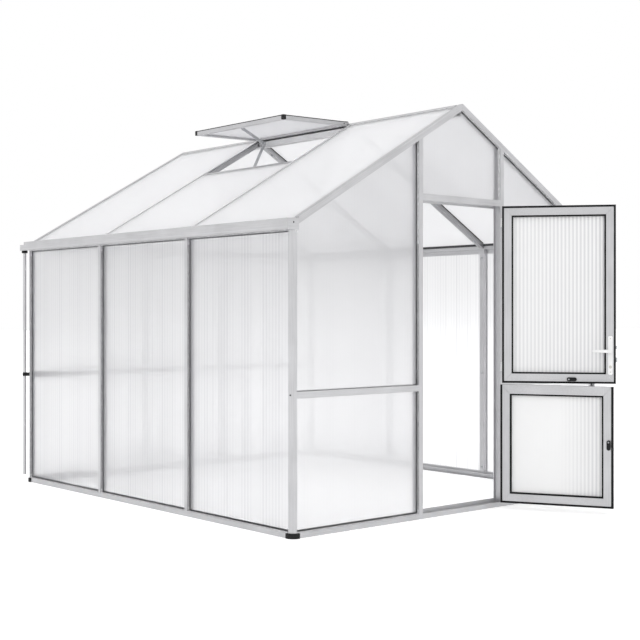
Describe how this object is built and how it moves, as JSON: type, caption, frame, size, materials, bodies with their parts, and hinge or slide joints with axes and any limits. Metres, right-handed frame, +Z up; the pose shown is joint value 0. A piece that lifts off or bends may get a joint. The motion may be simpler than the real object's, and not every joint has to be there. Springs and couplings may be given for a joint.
{
  "type": "greenhouse",
  "caption": "Small gabled greenhouse with an aluminium frame, milky twin-wall panels, a stable door, a roof vent on a folding stay, gutters and downpipes.",
  "frame": {"origin": "centre of the floor plan on the ground, in the middle of the anchor holes", "axes": "+Z up, +Y from the door gable to the rear gable, +X to the right seen from the door side"},
  "size_m": [2.384, 3.1922, 2.1558],
  "materials": {
    "aluminium": "plain satin extrusions",
    "black_plastic": "matt moulding",
    "dark_rubber": "matt glazing rubber",
    "wall_sheet": "milky twin-wall sheet with upright flutes",
    "roof_sheet": "milky twin-wall sheet with flutes down the slope",
    "door_sheet": "milky twin-wall sheet with upright flutes",
    "white_metal": "white powder coat",
    "zinc_steel": "zinc plated",
    "brass": "key cylinder"
  },
  "bodies": {
    "house": {"corner_feet": "black_plastic", "front_sill": "aluminium", "rear_sill": "aluminium", "side_sills": "aluminium", "corner_posts": "aluminium", "side_studs": "aluminium", "latch_jamb": "aluminium", "hinge_jamb": "aluminium", "rear_studs": "aluminium", "door_header": "aluminium", "front_mid_rails": "aluminium", "rear_mid_rails": "aluminium", "rear_tie_rails": "aluminium", "left_gutter": "aluminium", "right_gutter": "aluminium", "gutter_end_caps": "aluminium", "downpipes": "aluminium", "gutter_outlets": "black_plastic", "downpipe_clips": "black_plastic", "gable_rafters": "aluminium", "roof_bars": "aluminium", "ridge_bar": "aluminium", "vent_cross_bar": "aluminium", "left_wall_panels": "wall_sheet", "right_wall_panels": "wall_sheet", "front_gable_panels": "wall_sheet", "rear_gable_panels": "wall_sheet", "left_roof_panels": "roof_sheet", "right_roof_panels": "roof_sheet", "side_wall_beads": "dark_rubber", "gable_beads": "dark_rubber", "ridge_seals": "dark_rubber", "door_hinge_fixed": "white_metal", "latch_keep": "zinc_steel", "vent_hinge_bead": "aluminium", "stay_fixed_bracket": "zinc_steel"},
    "upper_leaf": {"upper_leaf_frame": "aluminium", "upper_leaf_panel": "door_sheet", "upper_leaf_seal": "dark_rubber", "upper_leaf_bead": "dark_rubber", "upper_leaf_hinges": "white_metal", "handle_plates": "white_metal"},
    "lever": {"lever_handles": "white_metal"},
    "latch": {"latch_bolt": "zinc_steel"},
    "deadbolt": {"dead_bolt": "zinc_steel"},
    "key_plug": {"lock_plug": "brass"},
    "upper_catch": {"upper_turn_catch": "black_plastic"},
    "lower_leaf": {"lower_leaf_frame": "aluminium", "lower_leaf_panel": "door_sheet", "lower_leaf_seal": "dark_rubber", "lower_leaf_bead": "dark_rubber", "lower_leaf_hinges": "white_metal"},
    "lower_catch": {"lower_turn_catch": "black_plastic"},
    "vent": {"vent_frame": "aluminium", "vent_panel": "roof_sheet", "vent_corner_caps": "black_plastic", "vent_hinge_curl": "aluminium", "vent_stay_bracket": "zinc_steel"},
    "stay_top": {"stay_upper_arm": "zinc_steel"},
    "stay_foot": {"stay_lower_arm": "zinc_steel"}
  },
  "joints": [
    {"name": "upper_leaf_swing", "type": "hinge", "parent": "house", "child": "upper_leaf", "pos_m": [0.3, -1.3, 1.15], "axis": [0, 0, 1], "range_deg": [-128.5, 36.5]},
    {"name": "lower_leaf_swing", "type": "hinge", "parent": "house", "child": "lower_leaf", "pos_m": [0.3, -1.3, 0.35], "axis": [0, 0, 1], "range_deg": [-117.5, 47.5]},
    {"name": "lever_turn", "type": "hinge", "parent": "upper_leaf", "child": "lever", "pos_m": [0.63152, -1.76336, 0.847], "axis": [-0.7826, -0.6225, 0], "range_deg": [0, 40], "stiffness_Nm_per_rad": 0.6, "springref_deg": -11.46},
    {"name": "latch_slide", "type": "slide", "parent": "upper_leaf", "child": "latch", "axis": [0.6225, -0.7826, 0], "range_m": [-0.012, 0]},
    {"name": "key_turn", "type": "hinge", "parent": "upper_leaf", "child": "key_plug", "pos_m": [0.63152, -1.76336, 0.763], "axis": [-0.7826, -0.6225, 0], "range_deg": [0, 180]},
    {"name": "deadbolt_slide", "type": "slide", "parent": "upper_leaf", "child": "deadbolt", "axis": [0.6225, -0.7826, 0], "range_m": [-0.012, 0]},
    {"name": "upper_catch_turn", "type": "hinge", "parent": "upper_leaf", "child": "upper_catch", "pos_m": [0.4814, -1.60676, 0.696], "axis": [-0.7826, -0.6225, 0], "range_deg": [-90, 0]},
    {"name": "lower_catch_turn", "type": "hinge", "parent": "lower_leaf", "child": "lower_catch", "pos_m": [0.52204, -1.83266, 0.376], "axis": [-0.887, -0.4617, 0], "range_deg": [0, 90]},
    {"name": "vent_swing", "type": "hinge", "parent": "house", "child": "vent", "pos_m": [-0.02157, 0, 2.14497], "axis": [0, 1, 0], "range_deg": [-29, 0]},
    {"name": "stay_top_pivot", "type": "hinge", "parent": "vent", "child": "stay_top", "pos_m": [-0.46416, 0.002, 2.11775], "axis": [0, 1, 0], "range_deg": [-18.5, 0]},
    {"name": "stay_foot_pivot", "type": "hinge", "parent": "house", "child": "stay_foot", "pos_m": [-0.38797, -0.002, 1.8936], "axis": [0, 1, 0], "range_deg": [0, 36]}
  ],
  "couplings": [
    {"joint": "latch_slide", "follows": "lever_turn", "m_per_rad": -0.01718},
    {"joint": "key_turn", "follows": "deadbolt_slide", "rad_per_m": -261.79},
    {"joint": "stay_top_pivot", "follows": "vent_swing", "ratio": 0.6316},
    {"joint": "stay_foot_pivot", "follows": "vent_swing", "ratio": -1.2255}
  ]
}
